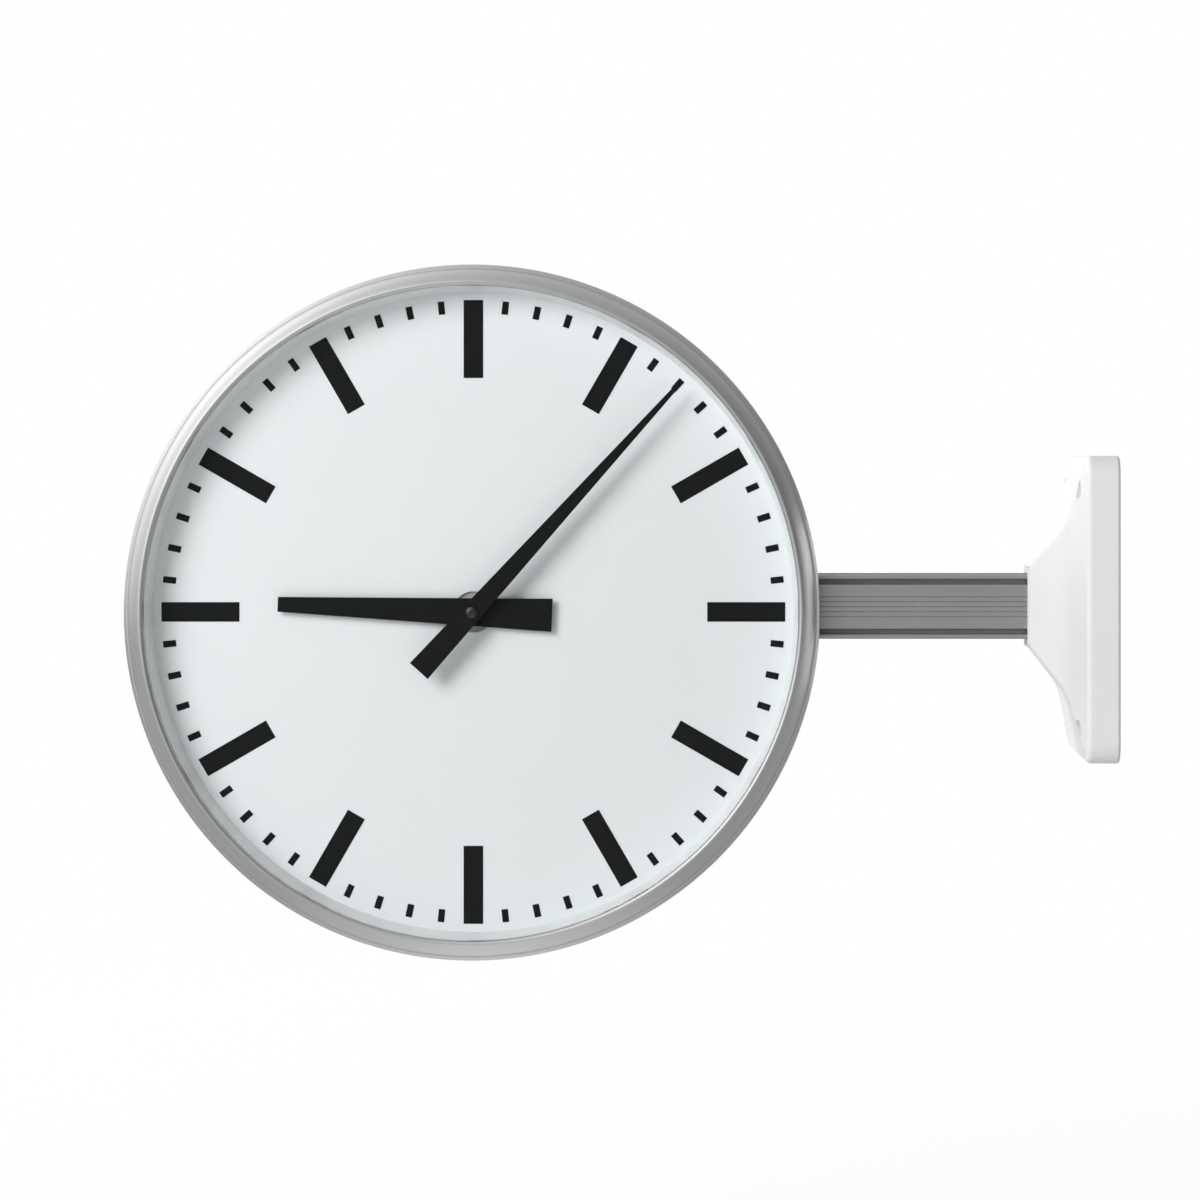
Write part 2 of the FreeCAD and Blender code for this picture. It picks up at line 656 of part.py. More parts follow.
def cover_screws():
    screws = []
    for y, z in corner_places(COVER_SCREW_SPACING / 2):
        shank = bar_x(COVER_SCREW_RADIUS, -COVER_POCKET_FLOOR, 0, y, z)
        head_end = -COVER_POCKET_FLOOR - COVER_SCREW_HEAD_HEIGHT
        head = bar_x(COVER_SCREW_HEAD_RADIUS, head_end, -COVER_POCKET_FLOOR, y, z)
        screws.append(united([shank, head]))
    return screws


def terminal_block():
    """Three-way block on the plate, with a wire hole and a clamp screw for each way."""
    back = -PLATE_THICKNESS
    low_y = -TERMINAL_OFFSET - TERMINAL_WIDTH / 2
    high_y = low_y + TERMINAL_WIDTH
    body = block(
        (back - TERMINAL_DEPTH, low_y, -TERMINAL_HEIGHT / 2),
        (back, high_y, TERMINAL_HEIGHT / 2),
    )
    pitch = TERMINAL_HEIGHT / TERMINAL_WAYS
    cuts = []
    for way in range(TERMINAL_WAYS):
        z = pitch * (way + 0.5) - TERMINAL_HEIGHT / 2
        mouth = point(back - TERMINAL_DEPTH / 2, low_y, z)
        cuts.append(Part.makeCylinder(TERMINAL_WIRE_RADIUS, TERMINAL_WIDTH, mouth, point(0, 1, 0)))
        face = back - TERMINAL_DEPTH
        cuts.append(bar_x(TERMINAL_SCREW_RADIUS, face, face + TERMINAL_SCREW_DEPTH, -TERMINAL_OFFSET, z))
    return body.cut(cuts)


# Movement, behind each dial.


def square_places(offset):
    return [(x, y) for x in (-offset, offset) for y in (-offset, offset)]


def dial_studs():
    """Studs welded to the dial's back, which carry the whole movement."""
    end = MOVEMENT_FRONT - MOVEMENT_WALL - NUT_HEIGHT
    return [disc(STUD_RADIUS, end, DIAL_SEAT, place) for place in square_places(STUD_OFFSET)]


def stud_nuts():
    top = MOVEMENT_FRONT - MOVEMENT_WALL
    corner = NUT_ACROSS_FLATS / 2 / math.cos(math.pi / 6)
    hexagon = [(corner * math.cos(math.pi * k / 3), corner * math.sin(math.pi * k / 3)) for k in range(6)]
    nuts = []
    for x, y in square_places(STUD_OFFSET):
        outline = [(x + dx, y + dy) for dx, dy in hexagon]
        nut = plate(outline, top - NUT_HEIGHT, NUT_HEIGHT)
        nuts.append(nut.cut(disc(STUD_RADIUS, top - NUT_HEIGHT, top, (x, y))))
    return nuts


def pivot_hole(axis, bottom, top):
    return disc(PIVOT_RADIUS + RUNNING_CLEARANCE, bottom, top, axis)


def movement_case():
    """Moulded box with a flange that the studs clamp against the front plate."""
    half = MOVEMENT_SIZE / 2
    edge = half + MOVEMENT_FLANGE
    inner = half - MOVEMENT_WALL
    floor = MOVEMENT_BACK + MOVEMENT_WALL
    box = block((-half, -half, MOVEMENT_BACK), (half, half, MOVEMENT_FRONT))
    flange = block((-edge, -edge, MOVEMENT_FRONT - MOVEMENT_WALL), (edge, edge, MOVEMENT_FRONT))
    cuts = [block((-inner, -inner, floor), (inner, inner, MOVEMENT_FRONT))]
    for axis in (INTERMEDIATE_AXIS, ROTOR_AXIS):
        cuts.append(pivot_hole(axis, floor - PIVOT_END, floor))
    cuts.append(disc(PIPE_BORE, floor - PIVOT_END, floor))
    for place in square_places(STUD_OFFSET):
        cuts.append(disc(STUD_RADIUS, MOVEMENT_BACK, MOVEMENT_FRONT, place))
    hollow = united([box, flange]).cut(cuts)
    posts = [disc(STATOR_POST_RADIUS, floor, STATOR_LEVEL, place) for place in stator_posts()]
    return united([hollow] + posts)


def stator_posts():
    """Where the case carries the stator: under the yoke and beside the magnet."""
    ring_middle = MAGNET_RADIUS + AIR_GAP + POLE_WIDTH / 2
    yoke = (STATOR_REACH - YOKE_WIDTH / 2, ROTOR_AXIS[1])
    return [(ROTOR_AXIS[0] - ring_middle, ROTOR_AXIS[1]), yoke]


def movement_plate():
    """Front plate with the bush for the hour pipe and the upper bearings."""
    edge = MOVEMENT_SIZE / 2 + MOVEMENT_FLANGE
    sheet = block((-edge, -edge, MOVEMENT_FRONT), (edge, edge, DIAL_SEAT))
    boss = disc(BOSS_RADIUS, MOVEMENT_FRONT, DIAL_SEAT + BOSS_HEIGHT)
    cuts = [disc(PIPE_RADIUS + RUNNING_CLEARANCE, MOVEMENT_FRONT, DIAL_FRONT)]
    for axis in (INTERMEDIATE_AXIS, ROTOR_AXIS):
        cuts.append(pivot_hole(axis, MOVEMENT_FRONT, MOVEMENT_FRONT + PIVOT_END))
    cuts.append(disc(POST_RADIUS, MOVEMENT_FRONT, DIAL_SEAT, MOTION_AXIS))
    for place in square_places(STUD_OFFSET):
        cuts.append(disc(STUD_RADIUS, MOVEMENT_FRONT, DIAL_SEAT, place))
    return united([sheet, boss]).cut(cuts)


def motion_post():
    """Headed post, riveted into the front plate, that the motion wheel turns on."""
    head_top = MOTION_LEVEL - POST_PLAY
    shank = disc(POST_RADIUS, head_top, DIAL_SEAT, MOTION_AXIS)
    head = disc(POST_HEAD_RADIUS, head_top - POST_HEAD_HEIGHT, head_top, MOTION_AXIS)
    return united([shank, head])


def gear(teeth, module, bottom, top, axis, first_tooth):
    """A spur gear with one tooth pointing at the angle first_tooth."""
    pitch_radius = teeth * module / 2
    root = pitch_radius - DEDENDUM * module
    tip = pitch_radius + ADDENDUM * module
    tip_angle = TOOTH_TIP * module / tip
    half_pitch = math.pi / teeth
    outline = []
    for tooth in range(teeth):
        middle = math.radians(first_tooth) + 2 * half_pitch * tooth
        for radius, angle in ((root, -half_pitch), (tip, -tip_angle), (tip, tip_angle)):
            outline.append((
                axis[0] + radius * math.cos(middle + angle),
                axis[1] + radius * math.sin(middle + angle),
            ))
    return plate(outline, bottom, top - bottom)


def gap_facing(angle, teeth):
    """Angle of a tooth beside the gap that faces a given way."""
    return angle + 180.0 / teeth


def module_for(centres, driver, driven):
    return 2 * centres / (driver + driven)


def rotor():
    """Magnet on a pivoted staff, with the first pinion below it."""
    x, y = ROTOR_AXIS
    module = module_for(ROTOR_CENTRES, PINION_TEETH, INTERMEDIATE_TEETH)
    floor = MOVEMENT_BACK + MOVEMENT_WALL
    pinion_low = INTERMEDIATE_LEVEL - PINION_OVERHANG
    pinion_high = INTERMEDIATE_LEVEL + WHEEL_THICKNESS + PINION_OVERHANG
    toward_wheel = -90.0
    return united([
        disc(PIVOT_RADIUS, floor - PIVOT_END, MOVEMENT_FRONT + PIVOT_END, (x, y)),
        gear(PINION_TEETH, module, pinion_low, pinion_high, (x, y), toward_wheel),
        disc(MAGNET_RADIUS, MAGNET_LEVEL, MAGNET_LEVEL + MAGNET_HEIGHT, (x, y)),
    ])


def intermediate_wheel():
    """Wheel and pinion on one pivoted staff, between the rotor and the centre wheel."""
    first_module = module_for(ROTOR_CENTRES, PINION_TEETH, INTERMEDIATE_TEETH)
    second_module = module_for(DRIVE_CENTRES, PINION_TEETH, CENTRE_TEETH)
    floor = MOVEMENT_BACK + MOVEMENT_WALL
    low = INTERMEDIATE_LEVEL
    wheel_top = low + WHEEL_THICKNESS
    pinion_top = CENTRE_LEVEL + WHEEL_THICKNESS + PINION_OVERHANG
    axis = INTERMEDIATE_AXIS
    toward_rotor = gap_facing(90.0, INTERMEDIATE_TEETH)
    toward_centre = 0.0
    return united([
        disc(PIVOT_RADIUS, floor - PIVOT_END, MOVEMENT_FRONT + PIVOT_END, axis),
        gear(INTERMEDIATE_TEETH, first_module, low, wheel_top, axis, toward_rotor),
        gear(PINION_TEETH, second_module, wheel_top, pinion_top, axis, toward_centre),
    ])


def centre_wheel():
    """Wheel pressed on the minute arbor."""
    module = module_for(DRIVE_CENTRES, PINION_TEETH, CENTRE_TEETH)
    top = CENTRE_LEVEL + WHEEL_THICKNESS
    toward_pinion = gap_facing(180.0, CENTRE_TEETH)
    wheel = gear(CENTRE_TEETH, module, CENTRE_LEVEL, top, (0.0, 0.0), toward_pinion)
    return wheel.cut(disc(ARBOR_RADIUS, CENTRE_LEVEL, top))


def minute_arbor():
    """Long arbor with the cannon pinion cut on it."""
    module = module_for(MOTION_CENTRES, PINION_TEETH, MOTION_TEETH)
    floor = MOVEMENT_BACK + MOVEMENT_WALL
    pinion_low = MOTION_LEVEL - PINION_OVERHANG
    pinion_high = MOTION_LEVEL + MOTION_THICKNESS + PINION_OVERHANG
    toward_motion = -90.0
    return united([
        disc(ARBOR_RADIUS, floor - PIVOT_END, MINUTE_HAND_LEVEL + HAND_THICKNESS + HAND_NUT_HEIGHT / 2),
        gear(PINION_TEETH, module, pinion_low, pinion_high, (0.0, 0.0), toward_motion),
    ])


def motion_wheel():
    """Wheel and pinion that turn together on the post."""
    first_module = module_for(MOTION_CENTRES, PINION_TEETH, MOTION_TEETH)
    second_module = module_for(MOTION_CENTRES, PINION_TEETH, HOUR_TEETH)
    wheel_top = MOTION_LEVEL + MOTION_THICKNESS
    pinion_top = HOUR_LEVEL + MOTION_THICKNESS + PINION_OVERHANG
    toward_arbor = gap_facing(90.0, MOTION_TEETH)
    wheel = gear(MOTION_TEETH, first_module, MOTION_LEVEL, wheel_top, MOTION_AXIS, toward_arbor)
    pinion = gear(PINION_TEETH, second_module, wheel_top, pinion_top, MOTION_AXIS, 90.0)
    bore = disc(POST_RADIUS + RUNNING_CLEARANCE, MOTION_LEVEL, pinion_top, MOTION_AXIS)
    return united([wheel, pinion]).cut(bore)


def hour_wheel():
    """Wheel with the long pipe that carries the hour hand."""
    module = module_for(MOTION_CENTRES, PINION_TEETH, HOUR_TEETH)
    wheel_top = HOUR_LEVEL + MOTION_THICKNESS
    pipe_top = HOUR_HAND_LEVEL + HAND_THICKNESS
    toward_motion = gap_facing(-90.0, HOUR_TEETH)
    wheel = gear(HOUR_TEETH, module, HOUR_LEVEL, wheel_top, (0.0, 0.0), toward_motion)
    pipe = disc(PIPE_RADIUS, HOUR_LEVEL, pipe_top)
    return united([wheel, pipe]).cut(disc(PIPE_BORE, HOUR_LEVEL, pipe_top))


def stator():
    """One stamped lamination stack: a ring round the magnet, two limbs and a yoke."""
    x, y = ROTOR_AXIS
    hole = MAGNET_RADIUS + AIR_GAP
    low, high = STATOR_LEVEL, STATOR_LEVEL + STATOR_THICKNESS
    lower_top = y + LIMB_WIDTH / 2
    return united([
        disc(hole + POLE_WIDTH, low, high, ROTOR_AXIS),
        block((x, lower_top - LIMB_WIDTH, low), (STATOR_REACH, lower_top, high)),
        block((x, STATOR_TOP - LIMB_WIDTH, low), (STATOR_REACH, STATOR_TOP, high)),
        block((STATOR_REACH - YOKE_WIDTH, lower_top - LIMB_WIDTH, low), (STATOR_REACH, STATOR_TOP, high)),
    ]).cut(disc(hole, low, high, ROTOR_AXIS))


def coil_core(margin, start, end):
    """Square sleeve space round the stator's upper limb."""
    across = LIMB_WIDTH / 2 + margin
    deep = STATOR_THICKNESS / 2 + margin
    return block(
        (start, COIL_HEIGHT - across, STATOR_MIDDLE - deep),
        (end, COIL_HEIGHT + across, STATOR_MIDDLE + deep),
    )


def coil_bobbin():
    """Moulded bobbin: a square sleeve with a round flange at each end."""
    end = COIL_START + COIL_LENGTH
    margin = BOBBIN_CLEARANCE + BOBBIN_WALL
    flanges = [
        bar_x(COIL_RADIUS, COIL_START, COIL_START + BOBBIN_FLANGE, COIL_HEIGHT, STATOR_MIDDLE),
        bar_x(COIL_RADIUS, end - BOBBIN_FLANGE, end, COIL_HEIGHT, STATOR_MIDDLE),
    ]
    bobbin = united([coil_core(margin, COIL_START, end)] + flanges)
    return bobbin.cut(coil_core(BOBBIN_CLEARANCE, COIL_START, end))


def coil_winding():
    """Copper winding between the bobbin's flanges."""
    start = COIL_START + BOBBIN_FLANGE
    end = COIL_START + COIL_LENGTH - BOBBIN_FLANGE
    copper = bar_x(COIL_RADIUS, start, end, COIL_HEIGHT, STATOR_MIDDLE)
    return copper.cut(coil_core(BOBBIN_CLEARANCE + BOBBIN_WALL, start, end))


# Hands.


def hand(tip, tail, tip_width, tail_width, level, boss_radius, boss_height, bore, angle):
    """A straight tapered hand on a round boss, pointing clockwise from twelve."""
    outline = [
        (-tail_width / 2, -tail),
        (tail_width / 2, -tail),
        (tip_width / 2, tip),
        (-tip_width / 2, tip),
    ]
    blank = plate(outline, level, HAND_THICKNESS)
    front_edges = [e for e in blank.Edges if e.BoundBox.ZMin > level + HAND_THICKNESS / 2]
    blade = blank.makeChamfer(HAND_EDGE, front_edges)
    boss = disc(boss_radius, level - boss_height, level)
    whole = united([blade, boss]).cut(disc(bore, level - boss_height, level + HAND_THICKNESS))
    return turned(whole, -angle)


def hour_hand():
    return hand(
        HOUR_HAND_LENGTH,
        HOUR_HAND_TAIL,
        HOUR_HAND_TIP_WIDTH,
        HOUR_HAND_TAIL_WIDTH,
        HOUR_HAND_LEVEL,
        HOUR_BOSS_RADIUS,
        HOUR_BOSS_HEIGHT,
        PIPE_RADIUS,
        HOUR_HAND_ANGLE,
    )


def minute_hand():
    return hand(
        MINUTE_HAND_LENGTH,
        MINUTE_HAND_TAIL,
        MINUTE_HAND_TIP_WIDTH,
        MINUTE_HAND_TAIL_WIDTH,
        MINUTE_HAND_LEVEL,
        MINUTE_BOSS_RADIUS,
        MINUTE_BOSS_HEIGHT,
        ARBOR_RADIUS,
        MINUTE_HAND_ANGLE,
    )


def hand_nut():
    """Domed nut on the end of the minute arbor."""
    low = MINUTE_HAND_LEVEL + HAND_THICKNESS
    side = low + HAND_NUT_HEIGHT - HAND_NUT_DOME
    dome = Part.makeCone(HAND_NUT_RADIUS, HAND_NUT_RADIUS / 2, HAND_NUT_DOME, point(0, 0, side))
    nut = united([disc(HAND_NUT_RADIUS, low, side), dome])
    return nut.cut(disc(ARBOR_RADIUS, low, low + HAND_NUT_HEIGHT / 2))


FACE_PIECES = {
    "bezel": bezel,
    "bezel_screws": bezel_screws,
    "lens": lens,
    "spacer_ring": spacer_ring,
    "dial": dial,
    "dial_marks": dial_marks,
    "dial_brackets": dial_brackets,
    "dial_studs": dial_studs,
    "stud_nuts": stud_nuts,
    "movement_case": movement_case,
    "movement_plate": movement_plate,
    "motion_post": motion_post,
    "stator": stator,
    "coil_bobbin": coil_bobbin,
    "coil_winding": coil_winding,
    "rotor": rotor,
    "intermediate_wheel": intermediate_wheel,
    "centre_wheel": centre_wheel,
    "minute_arbor": minute_arbor,
    "motion_wheel": motion_wheel,
    "hour_wheel": hour_wheel,
    "hour_hand": hour_hand,
    "minute_hand": minute_hand,
    "hand_nut": hand_nut,
}

DRUM_PIECES = {
    "case_ring": case_ring,
    "arm_socket": arm_socket,
    "socket_screws": socket_screws,
    "grub_screws": grub_screws,
}

BRACKET_PIECES = {
    "arm_profile": arm_profile,
    "arm_screws": arm_screws,
    "wall_plate": wall_plate,
    "bracket_cover": bracket_cover,
    "cover_screws": cover_screws,
    "terminal_block": terminal_block,
}


def as_shape(made):
    """One solid as it is, or a group of separate solids as a compound."""
    return Part.makeCompound(made) if isinstance(made, list) else made


def save(name, shape):
    shape.exportStep(os.path.join("parts", name + ".step"))


os.makedirs("parts", exist_ok=True)
for piece_name, make in BRACKET_PIECES.items():
    save(piece_name, as_shape(make()))
for piece_name, make in DRUM_PIECES.items():
    save(piece_name, placed(as_shape(make()), "front"))
for piece_name, make in FACE_PIECES.items():
    piece = as_shape(make())
    for facing in ("front", "rear"):
        save(facing + "_" + piece_name, placed(piece, facing))
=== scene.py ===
import math

import bmesh
import bpy
from mathutils import Matrix, Vector


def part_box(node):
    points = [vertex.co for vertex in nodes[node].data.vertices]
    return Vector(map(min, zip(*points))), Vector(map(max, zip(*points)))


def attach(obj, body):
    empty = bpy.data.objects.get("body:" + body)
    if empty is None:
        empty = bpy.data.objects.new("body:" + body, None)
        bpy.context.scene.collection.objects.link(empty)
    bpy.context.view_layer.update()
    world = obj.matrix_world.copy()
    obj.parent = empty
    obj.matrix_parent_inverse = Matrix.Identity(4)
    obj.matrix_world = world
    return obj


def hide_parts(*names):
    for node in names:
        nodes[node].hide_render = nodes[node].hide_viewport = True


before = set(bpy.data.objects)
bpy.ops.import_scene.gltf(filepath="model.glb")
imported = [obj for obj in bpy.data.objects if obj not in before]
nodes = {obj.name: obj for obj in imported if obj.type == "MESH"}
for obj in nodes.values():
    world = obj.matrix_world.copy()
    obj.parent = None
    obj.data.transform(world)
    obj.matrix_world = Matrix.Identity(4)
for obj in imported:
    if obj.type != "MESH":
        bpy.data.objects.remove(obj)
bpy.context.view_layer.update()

# A double-sided station clock on a wall arm, dressed in the order it goes together:
# bracket, arm, drum, movements, dials, hands, spacer rings, lenses and bezels, in metres.


# Wall plate and its screws.
# A 4 mm steel plate, laser cut and zinc plated. Four wall screws go through it, and
# four countersunk screws from behind hold the arm to it.


def srgb(red, green, blue):
    """A colour as it is read off a screen, 0 to 255, in the linear terms of a shader."""
    channels = []
    for value in (red, green, blue):
        part = value / 255
        channels.append(part / 12.92 if part <= 0.04045 else ((part + 0.055) / 1.055) ** 2.4)
    return (*channels, 1.0)


class Signal:
    """A shader socket that stands in sums: an expression on it adds Math nodes."""

    def __init__(self, finish, socket):
        self.finish = finish
        self.socket = socket

    def math(self, operation, *values):
        sockets = dict(enumerate(values))
        return self.finish.node("ShaderNodeMath", {"operation": operation}, sockets)

    def __add__(self, other):
        return self.math("ADD", self, other)

    __radd__ = __add__

    def __sub__(self, other):
        return self.math("SUBTRACT", self, other)

    def __rsub__(self, other):
        return self.math("SUBTRACT", other, self)

    def __mul__(self, other):
        return self.math("MULTIPLY", self, other)

    __rmul__ = __mul__

    def __truediv__(self, other):
        return self.math("DIVIDE", self, other)

    def __pow__(self, other):
        return self.math("POWER", self, other)

    def clamped(self):
        return self.math("MINIMUM", self.math("MAXIMUM", self, 0.0), 1.0)


class Finish:
    """A material in the making, round one Principled shader."""

    def __init__(self, name, **plain):
        self.material = bpy.data.materials.new(name)
        self.material.use_nodes = True
        self.tree = self.material.node_tree
        self.shader = self.tree.nodes["Principled BSDF"]
        self.place = self.node("ShaderNodeTexCoord", output="Object")
        for socket, value in plain.items():
            self.feed(socket.replace("_", " "), value)

    def node(self, kind, settings=None, sockets=None, output=0):
        """Add a node: its type, its settings, then its sockets' values or links."""
        made = self.tree.nodes.new(kind)
        for key, value in (settings or {}).items():
            setattr(made, key, value)
        for key, value in (sockets or {}).items():
            self.join(made.inputs[key], value)
        return Signal(self, made.outputs[output])

    def join(self, socket, value):
        if isinstance(value, Signal):
            self.tree.links.new(value.socket, socket)
        else:
            socket.default_value = value

    def feed(self, socket, value):
        self.join(self.shader.inputs[socket], value)

    def stretched(self, scale):
        """The object's own coordinates, scaled on each axis."""
        return self.node("ShaderNodeMapping", None, {"Vector": self.place, "Scale": scale})

    def noise(self, scale, detail=3.0, roughness=0.5, place=None):
        return self.node(
            "ShaderNodeTexNoise",
            None,
            {
                "Vector": place or self.place,
                "Scale": scale,
                "Detail": detail,
                "Roughness": roughness,
            },
            "Fac",
        )

    def blend(self, factor, first, second):
        """A colour that goes from first to second."""
        sockets = {"Factor": factor, 6: first, 7: second}
        return self.node("ShaderNodeMix", {"data_type": "RGBA"}, sockets, 2)

    def bump(self, height, distance, strength=1.0):
        sockets = {"Height": height, "Distance": distance, "Strength": strength}
        self.feed("Normal", self.node("ShaderNodeBump", None, sockets))


def wear(piece, finish):
    """Put a finish on a piece, or on a carried-over node, in every slot."""
    slots = piece.data.materials
    if not slots:
        slots.append(finish.material)
    for index in range(len(slots)):
        slots[index] = finish.material


def zinc_plate():
    """Bright zinc over steel, with the faint cloud of the passivation."""
    zinc = Finish("zinc_plate", Metallic=1.0)
    cloud = zinc.noise(90.0, 4.0)
    zinc.feed("Base Color", zinc.blend(cloud, srgb(176, 178, 180), srgb(203, 203, 200)))
    zinc.feed("Roughness", 0.3 + 0.14 * cloud)
    zinc.bump(zinc.noise(1400.0, 2.0), 0.00004, 0.3)
    return zinc


def turned_solid(outline, sides):
    """A closed mesh turned about Z from an outline of radii and heights.

    The outline starts and ends on the axis, or comes back to its first point.
    """
    build = bmesh.new()
    rings = []
    for radius, height in outline:
        if radius == 0.0:
            rings.append([build.verts.new((0.0, 0.0, height))])
            continue
        angles = [2 * math.pi * side / sides for side in range(sides)]
        rings.append([
            build.verts.new((radius * math.cos(a), radius * math.sin(a), height))
            for a in angles
        ])
    for below, above in zip(rings, rings[1:]):
        for side in range(sides):
            after = (side + 1) % sides
            corners = [below[side % len(below)], below[after % len(below)]]
            corners += [above[after % len(above)], above[side % len(above)]]
            build.faces.new(list(dict.fromkeys(corners)))
    bmesh.ops.remove_doubles(build, verts=build.verts, dist=1e-7)
    bmesh.ops.recalc_face_normals(build, faces=build.faces)
    mesh = bpy.data.meshes.new("turned")
    build.to_mesh(mesh)
    build.free()
    return mesh


def cut_mesh(mesh, cutter):
    """The first mesh with the second cut out of it."""
    made = [bpy.data.objects.new("blank", mesh), bpy.data.objects.new("cutter", cutter)]
    for item in made:
        bpy.context.scene.collection.objects.link(item)
    boolean = made[0].modifiers.new("cut", "BOOLEAN")
    boolean.operation = "DIFFERENCE"
    boolean.solver = "EXACT"
    boolean.object = made[1]
    bpy.context.view_layer.update()
    posed = made[0].evaluated_get(bpy.context.evaluated_depsgraph_get())
    result = bpy.data.meshes.new_from_object(posed)
    for item in made:
        bpy.data.objects.remove(item)
    return result


def recess_bar(width, reach, top, depth, turn):
    """A tapered bar: one arm of what a cross-head driver fills."""
    build = bmesh.new()
    rings = []
    for height, share in ((top + 0.0002, 1.0), (top - depth, 0.55)):
        spin = Matrix.Rotation(turn, 3, "Z")
        long_half, wide_half = reach * share, width * share / 2
        spots = [(-1, -1), (1, -1), (1, 1), (-1, 1)]
        rings.append([
            build.verts.new(spin @ Vector((x * long_half, y * wide_half, height)))
            for x, y in spots
        ])
    high, low = rings
    build.faces.new(high)
    build.faces.new(low[::-1])
    for side in range(4):
        after = (side + 1) % 4
        build.faces.new([high[side], low[side], low[after], high[after]])
    bmesh.ops.recalc_face_normals(build, faces=build.faces)
    mesh = bpy.data.meshes.new("recess")
    build.to_mesh(mesh)
    build.free()
    return mesh


def cross_head_screw(shank, length, head, rise, sunk):
    """A screw along Z with its seat at zero: a domed pan head, or a flat sunk one."""
    root = -length
    outline = [(0.0, root), (shank * 0.8, root), (shank, root + 0.0004)]
    if sunk:
        outline += [(shank, -rise), (head - 0.0001, -0.0002), (head, 0.0), (0.0, 0.0)]
        top = 0.0
    else:
        outline += [(shank, 0.0), (head - 0.0002, 0.0), (head, 0.0002)]
        for step in range(7):
            turn = step / 6 * math.pi / 2
            outline.append((head * math.cos(turn) ** 0.6, rise * (0.35 + 0.65 * math.sin(turn))))
        outline[-1] = (0.0, rise)
        top = rise
    screw = turned_solid(outline, 40)
    for turn in (0.0, math.pi / 2):
        screw = cut_mesh(screw, recess_bar(head * 0.24, head * 0.56, top, head * 0.4, turn))
    return screw


def repeated(mesh, places):
    """One mesh that repeats another at several places."""
    build = bmesh.new()
    for place in places:
        copy = mesh.copy()
        copy.transform(place)
        build.from_mesh(copy)
        bpy.data.meshes.remove(copy)
    whole = bpy.data.meshes.new("repeated")
    build.to_mesh(whole)
    build.free()
    return whole


def group_of(name, mesh, places):
    """A smooth-shaded piece from a mesh at one place or several."""
    whole = repeated(mesh, places)
    for face in whole.polygons:
        face.use_smooth = True
    whole.set_sharp_from_angle(angle=math.radians(32))
    piece = bpy.data.objects.new(name, whole)
    bpy.context.scene.collection.objects.link(piece)
    return piece


def stand_in(piece, node, body, finish):
    """Let a piece made here take the place of the node of the same part."""
    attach(piece, body)
    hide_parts(node)
    wear(piece, finish)


def standing(place, along):
    """The placement of something whose own Z points along a direction."""
    return Matrix.Translation(place) @ Vector(along).to_track_quat("Z", "Y").to_matrix().to_4x4()


def four_corners(x, offset, along):
    """The placements at the corners of a square that stands across X."""
    both = (-offset, offset)
    return [standing((x, y, z), along) for y in both for z in both]


def arc(centre, radius, start, end, steps):
    """Points along an arc, at angles in degrees."""
    points = []
    for step in range(steps + 1):
        angle = math.radians(start + (end - start) * step / steps)
        points.append((
            centre[0] + radius * math.cos(angle),
            centre[1] + radius * math.sin(angle),
        ))
    return points


zinc = zinc_plate()
wear(nodes["wall_plate"], zinc)
arm_screw_offset = 0.0095
arm_screw = cross_head_screw(0.0021, 0.016, 0.004, 0.0022, sunk=True)
arm_screw_places = four_corners(0.0, arm_screw_offset, (1, 0, 0))
stand_in(
    group_of("plate_to_arm_screws", arm_screw, arm_screw_places),
    "arm_screws", "case", zinc,
)


# Terminal block.
# A three-way moulded block in warm white nylon, fixed beside the arm on the plate.


def moulded(name, colour, roughness, grain=1800.0, depth=0.00003):
    """Moulded plastic with the fine spark-eroded grain of its mould."""
    plastic = Finish(name)
    drift = plastic.noise(28.0, 2.0)
    lighter = tuple(min(1.0, channel * 1.05) for channel in colour[:3]) + (1.0,)
    plastic.feed("Base Color", plastic.blend(drift, colour, lighter))
    fine = plastic.noise(grain, 3.0, 0.6)
    plastic.feed("Roughness", roughness - 0.05 + 0.1 * fine)
    plastic.bump(fine, depth, 0.5)
    return plastic


wear(nodes["terminal_block"], moulded("terminal_nylon", srgb(226, 221, 205), 0.5))


# Bracket cover.
# A four-sided trumpet moulded in white ABS, which hides the wall plate. It slides
# along the arm, and its screws sit deep in the four corner pockets.

wear(nodes["bracket_cover"], moulded("cover_plastic", srgb(223, 224, 223), 0.42))
cover_screw_seat = -0.008
cover_screw_offset = 0.055
cover_screw = cross_head_screw(0.002, 0.008, 0.0038, 0.0024, sunk=False)
cover_screw_places = four_corners(cover_screw_seat, cover_screw_offset, (-1, 0, 0))
stand_in(
    group_of("pan_head_cover_screws", cover_screw, cover_screw_places),
    "cover_screws", "case", zinc,
)


# Arm and socket.
# The arm is a 30 mm square aluminium extrusion, natural, with the long fine lines of
# the die. The socket inside the drum is an alloy casting, and set screws clamp the arm.


def extruded_aluminium():
    """Natural extrusion: long fine die lines, and painted shade darkening the floors of the
    grooves.
    """
    alloy = Finish("extruded_aluminium", Metallic=1.0)
    lines = alloy.noise(1.0, 4.0, 0.6, alloy.stretched((2.0, 1300.0, 1300.0)))
    cloud = alloy.noise(30.0, 3.0, 0.5, alloy.stretched((0.4, 1.0, 1.0)))
    shade = (0.4 * lines + 0.6 * cloud).clamped()
    apart = alloy.node("ShaderNodeSeparateXYZ", None, {"Vector": alloy.place}, "Y")
    # Painted shade: below the arm's outer faces, in the groove floors, the base colour is blended
    # toward dark grey.
    just_inside = 0.0149
    below = just_inside - apart.math("ABSOLUTE", apart)
    painted_groove_shade = (1600.0 * below).clamped()
    metal = alloy.blend(shade, srgb(170, 171, 172), srgb(194, 194, 193))
    alloy.feed("Base Color", alloy.blend(0.45 * painted_groove_shade, metal, srgb(52, 53, 55)))
    alloy.feed("Roughness", 0.34 + 0.12 * lines + 0.2 * painted_groove_shade)
    alloy.bump(lines, 0.00002, 0.4)
    return alloy


